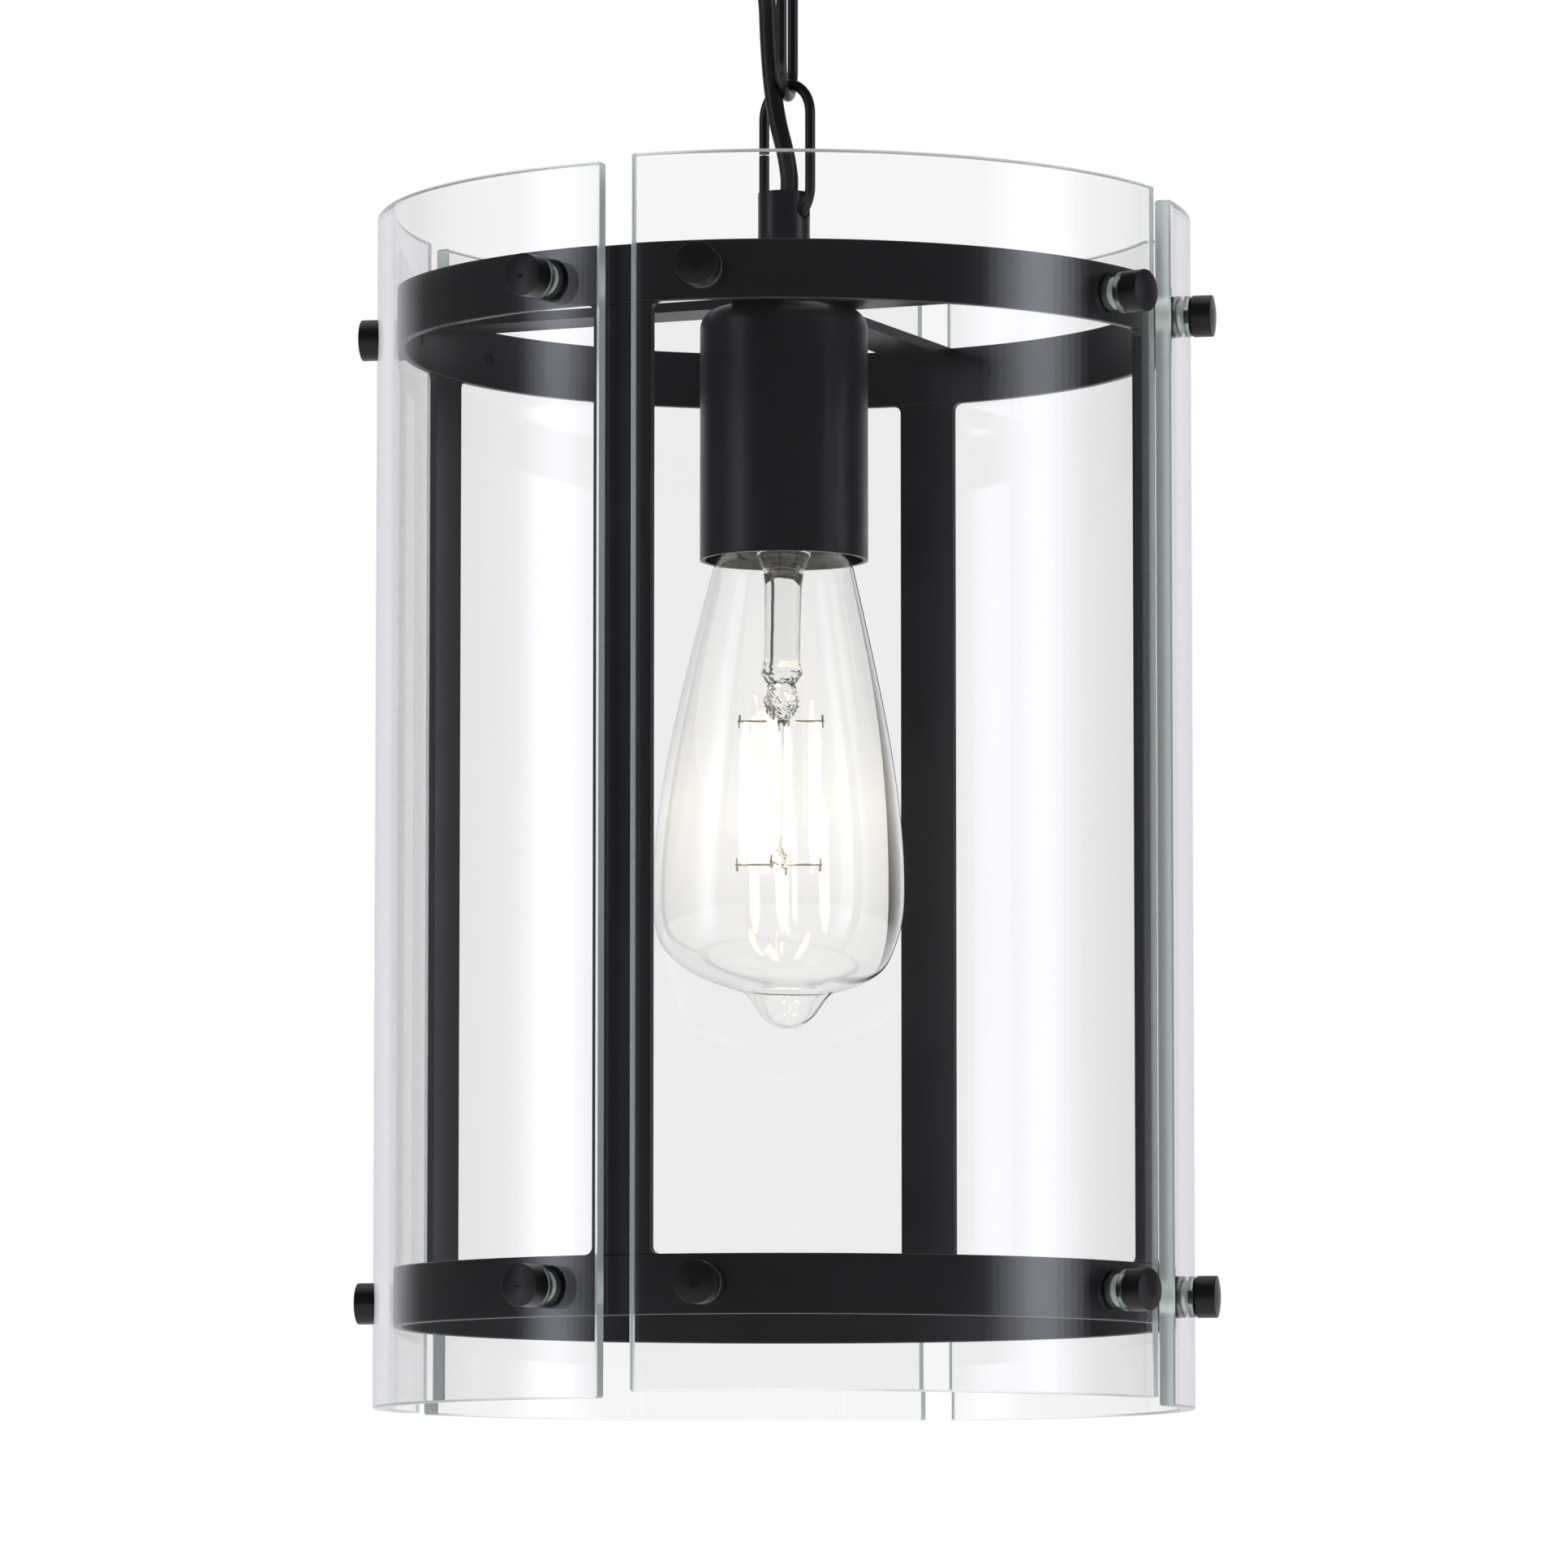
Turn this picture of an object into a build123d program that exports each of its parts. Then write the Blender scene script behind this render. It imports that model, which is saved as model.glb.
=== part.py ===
"""Hanging lantern: four curved glass panels held off a black strip cage, one lamp, two chain links, ceiling rose.

Millimetres, +Z up. The origin is the centre of the ceiling plane, and the lantern hangs below it.
Azimuth 0 points to -Y (the front) and grows towards +X.
"""
from build123d import *
from math import cos, pi, radians, sin, sqrt, tan
import os

# ---- cage -------------------------------------------------------------------------------------
CAGE_TOP = -126.3          # top edge of the upper ring
CAGE_HEIGHT = 253.2        # top of the upper ring to the bottom of the lower one
RING_RADIUS = 95.1         # outside
STRIP_THICK = 2.0
STRIP_WIDTH = 14.2         # height of both rings
POST_WIDTH = 14.6
POST_FLARE = 1.8           # small weld radius where a post meets a ring
POST_AZIMUTH = -23.4       # front post; the others follow every 90 degrees
CROSS_THICK = 2.4
CROSS_HUB_RADIUS = 14.0

# ---- glass ------------------------------------------------------------------------------------
GLASS_RADIUS = 100.0       # outside
GLASS_THICK = 4.0
GLASS_HEIGHT = 292.0
PANEL_ARC = 84.6           # degrees
GLASS_MIDDLE = -251.35     # nominal mid height of a panel
# each panel's own drilling tolerance: how far it sits turned (degrees) and dropped
PANELS = {"front": (45, -0.5, 0.15), "right": (135, 0.1, 1.7), "back": (225, -0.4, 1.55), "left": (-45, 0.1, 1.5)}

# ---- panel fixings ----------------------------------------------------------------------------
FIX_ANGLE = 12.2           # each side of a post
KNOB_RADIUS = 5.1
KNOB_LENGTH = 5.4
KNOB_DOME = 0.65
WASHER_RADIUS = 5.0
SLEEVE_RADIUS = 3.9
FLANGE_THICK = 1.1
STUD_RADIUS = 1.75
GAP = 0.05                 # between pieces that touch
STRIP_EDGE = 0.35          # rounding of the strip's edges
PANE_EDGE = 0.35           # arris ground along every edge of a pane
SLEEVE_PLAY = 0.1          # between a pane's hole and its bush

# ---- stem and chain ---------------------------------------------------------------------------
STEM_RADIUS = 6.4
STEM_WALL = 0.7
STEM_TOP = -100.1
HOLE_RADIUS = 2.9          # cross hole that the chain goes through
HOLE_DROP = 4.0            # below the stem's top
CHAIN_SHIFT = 1.1          # the cross hole is off centre, which leaves room for the flex
WIRE_RADIUS = 1.3
LINK_WIDTH = 18.6          # outside
LINK_LENGTH = 37.1         # outside
LOWER_LINK_AZIMUTH = 45.0  # its right side comes forward
UPPER_LINK_AZIMUTH = 170.0
LINK_OVERLAP = 2.85        # between the wires' centres where two links meet
HOOK_SAG = 2.95            # the link's lowest centre below the cross hole's axis

# ---- lampholder and lamp ----------------------------------------------------------------------
CUP_RADIUS = 20.65
CUP_WALL = 1.2
CUP_BOTTOM = -191.1
CUP_SHOULDER = 5.0
LAMP_BOTTOM = -306.2
LAMP_LENGTH = 144.0
LAMP_WALL = 0.9
# side curve of the envelope: radius and height below the lamp's top, with the outward normal there
ENVELOPE_ANCHORS = [(12.4, -24.8, 1, 0), (17.3, -31.0, 0.97, 0.23), (30.9, -111.0, 1, 0), (9.6, -136.2, 0.15, -0.98),
                    (6.6, -140.6, 0.85, -0.53), (0, -144.0, 0, -1)]
# control handles that leave each point and that arrive at the next one
ENVELOPE_HANDLES = [((0, -2.4), (-0.9, 3.8)), ((5.9, -25.0), (0, 26.0)), ((0, -18.0), (12.5, 2.0)),
                    ((-1.6, -0.25), (1.3, 2.1)), ((-0.9, -1.45), (3.2, 0))]
CAP_RADIUS = 13.1
LAMP_TILT = 0.94           # degrees, of the lamp's glass in its cap
FILAMENT_RADIUS = 0.85
FILAMENT_SPREAD = 8.8      # of the four filaments from the lamp's axis
FILAMENT_TURN = 80.0       # azimuth of the first one
FILAMENT_DROP = 69.0       # top end, below the lamp's top
FILAMENT_LENGTH = 34.5
NIPPLE_RADIUS = 5.0        # M10
NIPPLE_BORE = 3.7

# ---- ceiling rose -----------------------------------------------------------------------------
ROSE_RADIUS = 50.0
ROSE_DEPTH = 22.0
ROSE_WALL = 1.0
BRACKET_LENGTH = 84.0
BRACKET_WIDTH = 22.0
BRACKET_THICK = 1.5
SLOT_SPACING = 60.0
SLOT_LENGTH = 14.0
SLOT_WIDTH = 5.0
EYE_RADIUS = 6.5           # centre line of the hanging loop's ring
EYE_WIRE = 1.5
EYE_PLAY = 0.16            # between the upper link and the hanging loop's ring
GRIP_POSITION = (-12.5, -4.5)
EARTH_POSITION = (15.0, 7.0)
TERMINAL_POSITION = (20.5, -8.0)   # Y and Z of the terminal block's middle

# ---- flex -------------------------------------------------------------------------------------
FLEX_RADIUS = 2.2

# ---- worked out -------------------------------------------------------------------------------
RING_INSIDE = RING_RADIUS - STRIP_THICK
CAGE_BOTTOM = CAGE_TOP - CAGE_HEIGHT
RING_MIDDLES = {"upper": CAGE_TOP - STRIP_WIDTH / 2, "lower": CAGE_BOTTOM + STRIP_WIDTH / 2}
GLASS_INSIDE = GLASS_RADIUS - GLASS_THICK
CROSS_TOP = CAGE_TOP - 0.2
CROSS_BOTTOM = CROSS_TOP - CROSS_THICK
CUP_TOP = CROSS_BOTTOM - GAP
HOLE_HEIGHT = STEM_TOP - HOLE_DROP
LINK_ARC = LINK_WIDTH / 2 - WIRE_RADIUS
LOWER_LINK_BOTTOM = HOLE_HEIGHT - HOOK_SAG
LINK_PITCH = LINK_LENGTH - 2 * WIRE_RADIUS
LOWER_LINK_TOP = LOWER_LINK_BOTTOM + LINK_PITCH
UPPER_LINK_BOTTOM = LOWER_LINK_TOP - LINK_OVERLAP
UPPER_LINK_TOP = UPPER_LINK_BOTTOM + LINK_PITCH
EYE_BOTTOM = UPPER_LINK_TOP - WIRE_RADIUS - EYE_WIRE - EYE_PLAY
EYE_MIDDLE = EYE_BOTTOM + EYE_RADIUS
LAMP_TOP = LAMP_BOTTOM + LAMP_LENGTH
FILAMENT_TOP = LAMP_TOP - FILAMENT_DROP
FILAMENT_BOTTOM = FILAMENT_TOP - FILAMENT_LENGTH


def around(azimuth, radius, height=0.0):
    """Point at an azimuth and radius about the lantern's axis."""
    return (radius * sin(radians(azimuth)), -radius * cos(radians(azimuth)), height)


def facing(azimuth, radius, height):
    """Plane whose normal points outwards at that azimuth, with its X level and its Y up."""
    out = Vector(*around(azimuth, 1.0))
    return Plane(origin=around(azimuth, radius, height), x_dir=Vector(0, 0, 1).cross(out), z_dir=out)


def chain_centre():
    """Where the chain's line stands, off the lantern's axis and square to the lower link."""
    n = Vector(cos(radians(LOWER_LINK_AZIMUTH)), sin(radians(LOWER_LINK_AZIMUTH)), 0)
    return n * CHAIN_SHIFT


def band(outside, inside, low, high):
    """A plain ring."""
    height = high - low
    tube = Cylinder(outside, height) - Cylinder(inside, height)
    return Pos(0, 0, (low + high) / 2) * tube


def disc(radius, low, high, at=(0.0, 0.0)):
    return Pos(at[0], at[1], (low + high) / 2) * Cylinder(radius, high - low)


def sector(centre, arc, reach, low, high):
    """A wedge that covers arc degrees about the azimuth centre."""
    half = radians(arc / 2)
    far = reach / cos(half)
    corners = [(0, 0), (far * sin(-half), -far * cos(half)), (far * sin(half), -far * cos(half))]
    wedge = extrude(make_face(Polyline(*corners, close=True)), high - low)
    return Pos(0, 0, low) * Rot(0, 0, centre) * wedge


def turned(*outline):
    """Solid of revolution about Z of a closed outline of edges in the XZ plane."""
    return revolve(make_face(Wire(list(outline))), Axis.Z)


def lathe(points):
    """Solid of revolution about Z of a straight-sided outline, as (radius, height) points."""
    return revolve(make_face(Polyline(*[(r, 0, z) for r, z in points], close=True)), Axis.Z)


def hexagon_nut(across, bore, low, high, at=(0.0, 0.0)):
    nut = extrude(RegularPolygon(across / sqrt(3), 6), high - low)
    nut -= Pos(0, 0, (high - low) / 2) * Cylinder(bore, 3 * (high - low))
    return Pos(at[0], at[1], low) * nut


def post_azimuths():
    return {name: POST_AZIMUTH + 90 * k for k, name in enumerate(("front", "right", "back", "left"))}


def fixing_azimuths(panel):
    """The two azimuths at which a panel is fixed, one by each of its posts."""
    middle = POST_AZIMUTH + PANELS[panel][0]
    return [middle - 45 + FIX_ANGLE, middle + 45 - FIX_ANGLE]


def fixing_places(panel):
    return [(a, z) for z in RING_MIDDLES.values() for a in fixing_azimuths(panel)]


# ---- cage -------------------------------------------------------------------------------------
def ring(middle):
    """One rolled strip, with a hole for each stud."""
    made = band(RING_RADIUS, RING_INSIDE, middle - STRIP_WIDTH / 2, middle + STRIP_WIDTH / 2)
    made = fillet(made.edges().filter_by(GeomType.CIRCLE), STRIP_EDGE)
    for panel in PANELS:
        for azimuth in fixing_azimuths(panel):
            made -= facing(azimuth, RING_RADIUS, middle) * Cylinder(STUD_RADIUS + GAP, 4 * STRIP_THICK)
    return made


def post(azimuth):
    """An upright strip rolled to the rings' radius, flared where it is welded to them."""
    low = RING_MIDDLES["lower"] + STRIP_WIDTH / 2 + GAP
    high = RING_MIDDLES["upper"] - STRIP_WIDTH / 2 - GAP
    half = POST_WIDTH / 2
    length = high - low
    f = POST_FLARE
    outline = [
        Line((-half - f, 0), (half + f, 0)),
        RadiusArc((half + f, 0), (half, f), f),
        Line((half, f), (half, length - f)),
        RadiusArc((half, length - f), (half + f, length), f),
        Line((half + f, length), (-half - f, length)),
        RadiusArc((-half - f, length), (-half, length - f), f),
        Line((-half, length - f), (-half, f)),
        RadiusArc((-half, f), (-half - f, 0), f),
    ]
    blank = extrude(make_face(Wire(outline)), 8 * STRIP_THICK, both=True)
    blank = facing(azimuth, RING_RADIUS, low) * blank
    return blank & band(RING_RADIUS, RING_INSIDE, low - 1, high + 1)


def top_cross():
    """Flat four-armed plate inside the upper ring, with a hub that the stem stands on."""
    long = 2 * RING_RADIUS
    arms = Box(long, POST_WIDTH, CROSS_THICK) + Box(POST_WIDTH, long, CROSS_THICK)
    plate = Rot(0, 0, POST_AZIMUTH) * (arms + Cylinder(CROSS_HUB_RADIUS, CROSS_THICK))
    plate &= Cylinder(RING_INSIDE - GAP, CROSS_THICK)
    plate -= Cylinder(NIPPLE_RADIUS + GAP, CROSS_THICK)
    return Pos(0, 0, (CROSS_TOP + CROSS_BOTTOM) / 2) * plate


# ---- glass and its fixings --------------------------------------------------------------------
def glass_panel(panel):
    """One bent pane with arrised edges and four drilled holes."""
    swing, turn, drop = PANELS[panel]
    middle = GLASS_MIDDLE - drop
    low, high = middle - GLASS_HEIGHT / 2, middle + GLASS_HEIGHT / 2
    pane = band(GLASS_RADIUS, GLASS_INSIDE, low, high)
    pane &= sector(POST_AZIMUTH + swing + turn, PANEL_ARC, 2 * GLASS_RADIUS, low, high)
    pane = chamfer(pane.edges(), PANE_EDGE)
    for azimuth, height in fixing_places(panel):
        pane -= facing(azimuth, GLASS_RADIUS, height) * Cylinder(SLEEVE_RADIUS + SLEEVE_PLAY, 4 * GLASS_THICK)
    return pane


def knob(azimuth, height):
    """Round cap nut with a slightly domed face, a chamfered back edge and a blind hole."""
    base = GLASS_RADIUS + FLANGE_THICK + 2 * GAP
    full = KNOB_LENGTH + KNOB_DOME
    dome_radius = (KNOB_RADIUS ** 2 + KNOB_DOME ** 2) / (2 * KNOB_DOME)
    cap = Pos(0, 0, full / 2) * Cylinder(KNOB_RADIUS, full)
    cap &= Pos(0, 0, full - dome_radius) * Sphere(dome_radius)
    back_edge = cap.edges().filter_by(GeomType.CIRCLE).sort_by(Axis.Z)[0]
    cap = chamfer(back_edge, 0.7)
    rim = cap.edges().filter_by_position(Axis.Z, KNOB_LENGTH - 0.01, KNOB_LENGTH + 0.01)
    cap = fillet(rim, 0.2)
    cap -= Cylinder(STUD_RADIUS + GAP, 6.0)
    return facing(azimuth, base, height) * cap


def stud(azimuth, height):
    inner = RING_INSIDE + 0.3
    outer = GLASS_RADIUS + FLANGE_THICK + 2 * GAP + 2.8
    return facing(azimuth, (inner + outer) / 2, height) * Cylinder(STUD_RADIUS, outer - inner)


def bush(azimuth, height):
    """Clear silicone bush: a sleeve in the glass hole and a flange under the knob."""
    sleeve_start = GLASS_INSIDE + 0.3
    long = GLASS_RADIUS + GAP - sleeve_start
    made = Pos(0, 0, -long / 2) * Cylinder(SLEEVE_RADIUS, long)
    made += Pos(0, 0, FLANGE_THICK / 2) * Cylinder(WASHER_RADIUS, FLANGE_THICK)
    made -= Cylinder(STUD_RADIUS + GAP, 4 * GLASS_THICK)
    return facing(azimuth, GLASS_RADIUS + GAP, height) * made


def inner_washer(azimuth, height):
    """Black rubber washer between the ring and the glass."""
    start = RING_RADIUS + GAP
    sagitta = GLASS_INSIDE - sqrt(GLASS_INSIDE ** 2 - WASHER_RADIUS ** 2)
    thick = GLASS_INSIDE - sagitta - 0.03 - start
    made = Cylinder(WASHER_RADIUS, thick) - Cylinder(STUD_RADIUS + GAP, 2 * thick)
    return facing(azimuth, start + thick / 2, height) * made


# ---- stem, chain and hanging loop -------------------------------------------------------------
def stem_tube():
    """Thin tube standing on the cross, with an off-centre cross hole for the lowest link."""
    tube = band(STEM_RADIUS, STEM_RADIUS - STEM_WALL, CROSS_TOP + GAP, STEM_TOP)
    hole = Rot(0, 90, 0) * Cylinder(HOLE_RADIUS, 4 * STEM_RADIUS)
    centre = chain_centre()
    place = Location((centre.X, centre.Y, HOLE_HEIGHT), (0, 0, LOWER_LINK_AZIMUTH - 90))
    return tube - place * hole


def stem_nipple():
    """Hollow threaded rod that clamps the stem, the cross, the cup and the lampholder together."""
    return band(NIPPLE_RADIUS - 0.02, NIPPLE_BORE, CUP_TOP - 8.4, CROSS_TOP + 7.0)


def link(azimuth, bottom):
    """A welded oval link of round wire, standing in the vertical plane at that azimuth."""
    straight = LINK_PITCH - 2 * LINK_ARC
    low, high = LINK_ARC, LINK_ARC + straight
    r = LINK_ARC
    path = Wire([
        Line((r, 0, low), (r, 0, high)),
        ThreePointArc((r, 0, high), (0, 0, high + r), (-r, 0, high)),
        Line((-r, 0, high), (-r, 0, low)),
        ThreePointArc((-r, 0, low), (0, 0, 0), (r, 0, low)),
    ])
    section = Plane(origin=(r, 0, low), z_dir=(0, 0, 1)) * Circle(WIRE_RADIUS)
    made = sweep(section, path=path)
    centre = chain_centre()
    return Location((centre.X, centre.Y, bottom), (0, 0, azimuth - 90)) * made


def hanging_loop():
    """Ring on a threaded boss, square to the upper link."""
    boss_top = -ROSE_DEPTH - 4.1
    boss_bottom = EYE_MIDDLE + EYE_RADIUS - 0.7
    eye = Pos(0, 0, EYE_MIDDLE) * Rot(90, 0, 0) * Torus(EYE_RADIUS, EYE_WIRE)
    boss = lathe([(0, boss_top), (7.0, boss_top), (7.0, boss_top - 3.2), (3.2, boss_bottom), (0, boss_bottom)])
    made = Rot(0, 0, UPPER_LINK_AZIMUTH - 180) * (eye + boss)
    return made - disc(NIPPLE_RADIUS + 0.03, boss_top - 2.9, boss_top)


# ---- lampholder -------------------------------------------------------------------------------
def holder_cup():
    """Drawn steel cup over the lampholder, open below."""
    outer = fillet(disc(CUP_RADIUS, CUP_BOTTOM, CUP_TOP).edges().sort_by(Axis.Z)[-1:], CUP_SHOULDER)
    inside = disc(CUP_RADIUS - CUP_WALL, CUP_BOTTOM - 1, CUP_TOP - CUP_WALL)
    inside = fillet(inside.edges().sort_by(Axis.Z)[-1:], CUP_SHOULDER - CUP_WALL)
    return outer - inside - disc(NIPPLE_RADIUS + 0.03, CUP_TOP - 4, CUP_TOP + 1)


def holder_body():
    """Moulded insulating body with a bore for the screw shell and two cable ways."""
    top, floor, mouth = CUP_TOP - 9.0, LAMP_TOP + 2.2, CUP_BOTTOM + 7.0
    outer, bore = CUP_RADIUS - CUP_WALL - 0.4, CAP_RADIUS + 1.6
    body = lathe([(0, top), (outer - 3, top), (outer, top - 3), (outer, mouth), (bore, mouth), (bore, floor), (0, floor)])
    for side in (-1, 1):
        body -= disc(2.0, floor - 1, top + 1, (side * 8.0, 0.0))
    return body


def screw_shell():
    """Brass shell of the lampholder."""
    bore = CAP_RADIUS + 0.7
    return band(CAP_RADIUS + 1.55, bore, CUP_BOTTOM + 8.0, LAMP_TOP + 1.2)


def centre_contact():
    """Sprung tongue above the lamp's contact."""
    tongue = Pos(2.0, 0, LAMP_TOP + 0.35) * Box(13.0, 5.0, 0.5)
    foot = Pos(8.0, 0, LAMP_TOP + 1.35) * Box(1.0, 5.0, 1.5)
    return tongue + foot


# ---- lamp -------------------------------------------------------------------------------------
def askew():
    """Place of the lamp's glass, which leans a little out of its cap."""
    seat = LAMP_TOP - 24.0
    return Pos(0, 0, seat) * Rot(0, LAMP_TILT, 0) * Pos(0, 0, -seat)


def envelope(inset, top):
    """Solid inside the lamp's side curve, moved inwards by the inset and closed at the height top."""
    anchors = [Vector(r - inset * nr, 0, LAMP_TOP + z - inset * nz) for r, z, nr, nz in ENVELOPE_ANCHORS]
    curves = []
    for (a, b), (out, back) in zip(zip(anchors, anchors[1:]), ENVELOPE_HANDLES):
        curves.append(Bezier(a, a + Vector(out[0], 0, out[1]), b + Vector(back[0], 0, back[1]), b))
    start, tip = anchors[0], anchors[-1]
    rim, middle = Vector(start.X, 0, top), Vector(0, 0, top)
    return turned(Line(rim, start), *curves, Line(tip, middle), Line(middle, rim))


def lamp_glass():
    """Hollow pear-shaped envelope with a sealed nipple at its tip."""
    top = LAMP_TOP - 17.0
    return askew() * (envelope(0.0, top) - envelope(LAMP_WALL, top + 1.0))


def lamp_cap():
    """Screw cap, with rolled threads as shallow rings."""
    top, skirt, wall = LAMP_TOP - 4.4, LAMP_TOP - 24.6, 0.4
    pitch, crest, turns = 3.62, 0.45, 4
    outline = [(10.4, top), (CAP_RADIUS - crest - 0.6, top)]
    for k in range(turns):
        z = top - 1.2 - k * pitch
        outline += [(CAP_RADIUS - crest, z), (CAP_RADIUS, z - pitch / 4), (CAP_RADIUS, z - pitch / 2)]
    outline += [(CAP_RADIUS - crest, z - 0.8 * pitch), (CAP_RADIUS - crest + 0.1, skirt)]
    inside = CAP_RADIUS - crest - wall + 0.3
    outline += [(inside, skirt), (inside, top - 0.8), (10.4, top - 0.8)]
    return lathe(outline)


def lamp_insulator():
    """Glazed disc that carries the centre contact."""
    return lathe([(0, LAMP_TOP - 1.5), (4.6, LAMP_TOP - 1.5), (10.3, LAMP_TOP - 4.3), (10.3, LAMP_TOP - 5.3),
                  (0, LAMP_TOP - 5.3)])


def lamp_contact():
    """Solder-domed centre contact."""
    low, radius, dome = LAMP_TOP - 1.45, 4.4, 1.1
    sphere = (radius ** 2 + dome ** 2) / (2 * dome)
    return disc(radius, low, LAMP_TOP) & Pos(0, 0, LAMP_TOP - sphere) * Sphere(sphere)


def lamp_stem():
    """Glass foot: a flare sealed into the neck, a tube, the pinch and a rod."""
    top = LAMP_TOP
    points = [(0, -22.5), (CAP_RADIUS - 1.8, -22.5), (CAP_RADIUS - 1.8, -23.5), (7.0, -27.0), (5.0, -31.5),
              (4.8, -56.0), (2.8, -59.0), (3.8, -62.5), (3.4, -66.0), (1.0, -68.5), (0.9, -101.0), (0, -101.0)]
    return askew() * lathe([(r, top + z) for r, z in points])


def lamp_filament(turn):
    x, y, _ = around(turn, FILAMENT_SPREAD)
    rod = disc(FILAMENT_RADIUS, FILAMENT_BOTTOM, FILAMENT_TOP, (x, y))
    return askew() * fillet(rod.edges().filter_by(GeomType.CIRCLE), 0.3)


def lamp_wires(turn, height, direction):
    """One support wire from the foot's rod out to a filament's end, with a short cross at the weld."""
    wire = 0.3
    near, far = 1.2 if direction < 0 else 3.6, FILAMENT_SPREAD + 2.0
    long = far - near
    arm = facing(turn, (near + far) / 2, height) * Cylinder(wire, long)
    cross = disc(wire, height - 1.6, height + 1.6, around(turn, FILAMENT_SPREAD + 1.5)[:2])
    return askew() * (arm + cross)


# ---- ceiling rose -----------------------------------------------------------------------------
def ceiling_bracket():
    """Steel strap with two fixing slots, a threaded centre hole and a hole for the earth screw."""
    strap = Pos(0, 0, -BRACKET_THICK / 2) * Box(BRACKET_LENGTH, BRACKET_WIDTH, BRACKET_THICK)
    strap = fillet(strap.edges().filter_by(Axis.Z), 5.0)
    slot = extrude(SlotOverall(SLOT_LENGTH, SLOT_WIDTH), 4 * BRACKET_THICK, both=True)
    for side in (-1, 1):
        strap -= Pos(side * SLOT_SPACING / 2, 0, 0) * slot
    strap -= Cylinder(NIPPLE_RADIUS + 0.03, 4 * BRACKET_THICK)
    return strap - Pos(*EARTH_POSITION, 0) * Cylinder(2.05, 4 * BRACKET_THICK)


def rose_cover():
    """Spun steel cover, open to the ceiling, with holes for the nipple and the cord grip."""
    outer = fillet(disc(ROSE_RADIUS, -ROSE_DEPTH, -0.3).edges().sort_by(Axis.Z)[:1], 6.0)
    inside = disc(ROSE_RADIUS - ROSE_WALL, -ROSE_DEPTH + ROSE_WALL, 1.0)
    inside = fillet(inside.edges().sort_by(Axis.Z)[:1], 5.0)
    cover = outer - inside - Cylinder(NIPPLE_RADIUS + 0.05, 3 * ROSE_DEPTH)
    return cover - Pos(*GRIP_POSITION, 0) * Cylinder(4.05, 3 * ROSE_DEPTH)


def loop_collar():
    """Plain washer between the rose and the hanging loop."""
    collar = disc(7.5, -ROSE_DEPTH - 4.0, -ROSE_DEPTH - GAP)
    collar = fillet(collar.edges().filter_by(GeomType.CIRCLE), 0.6)
    return collar - Cylinder(NIPPLE_RADIUS + 0.03, 4 * ROSE_DEPTH)


def cord_grip():
    """Nylon grip that the flex comes out of."""
    grip = disc(4.0, -ROSE_DEPTH - 0.02, -ROSE_DEPTH + 5.0, GRIP_POSITION)
    grip += disc(4.7, -ROSE_DEPTH - 3.0, -ROSE_DEPTH - 0.02, GRIP_POSITION)
    grip = chamfer(grip.edges().sort_by(Axis.Z)[:1], 1.2)
    return grip - disc(FLEX_RADIUS + 0.25, -ROSE_DEPTH - 5, -ROSE_DEPTH + 8, GRIP_POSITION)


def terminal_block():
    """Three-way screw terminal for the supply wires."""
    y, z = TERMINAL_POSITION
    block = Pos(0, y, z) * Box(30.0, 10.0, 12.0)
    for k in (-1, 0, 1):
        block -= Pos(10.0 * k, y, z + 2.0) * Rot(90, 0, 0) * Cylinder(1.6, 20.0)
        block -= Pos(10.0 * k, y, z - 4.5) * Cylinder(1.9, 6.0)
    return block


def earth_screw():
    head = Pos(*EARTH_POSITION, -BRACKET_THICK - 1.2) * Cylinder(3.6, 2.3)
    shank = Pos(*EARTH_POSITION, -BRACKET_THICK / 2 - 0.1) * Cylinder(2.0, BRACKET_THICK - 0.1)
    slot = Pos(*EARTH_POSITION, -BRACKET_THICK - 2.4) * Box(8.0, 0.9, 1.4)
    return head + shank - slot


# ---- flex -------------------------------------------------------------------------------------
FLEX_UPPER = [(-12.5, -4.5, -14.0), (-12.5, -4.5, -27.5), (-9.5, -4.9, -37.5), (-4.233, -1.491, -47.5),
              (-3.989, -1.236, -55.5)]
FLEX_MIDDLE = [(-3.989, -1.236, -55.5), (-3.38, -0.6, -75.5), (-0.687, -2.947, -86.0)]
FLEX_LOWER = [(-0.687, -2.947, -86.0), (0.595, -4.065, -91.0), (1.75, -2.9, -99.9), (-1.15, -3.15, -108.2),
              (-0.5, -1.25, -117.5), (0.0, -0.7, -124.0)]


def flex(points):
    """Round flex along straight runs joined by the largest arcs that they allow."""
    places = [Vector(*p) for p in points]
    runs = [b - a for a, b in zip(places, places[1:])]
    radii = []
    for a, b in zip(runs, runs[1:]):
        half = radians(a.get_angle(b)) / 2
        radii.append(0.45 * min(a.length, b.length) / tan(half))
    path = FilletPolyline(*points, radius=radii)
    section = Plane(origin=places[0], z_dir=runs[0]) * Circle(FLEX_RADIUS)
    made = sweep(section, path=path)
    length = path.length
    print("flex radii", [round(r, 1) for r in radii], "length", round(length, 1),
          "volume over section times length", round(made.volume / (pi * FLEX_RADIUS ** 2 * length), 4))
    return made


# ---- all nodes --------------------------------------------------------------------------------
def together(solids):
    return Compound(children=[s if isinstance(s, Solid) else s.solids()[0] for s in solids])


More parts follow.
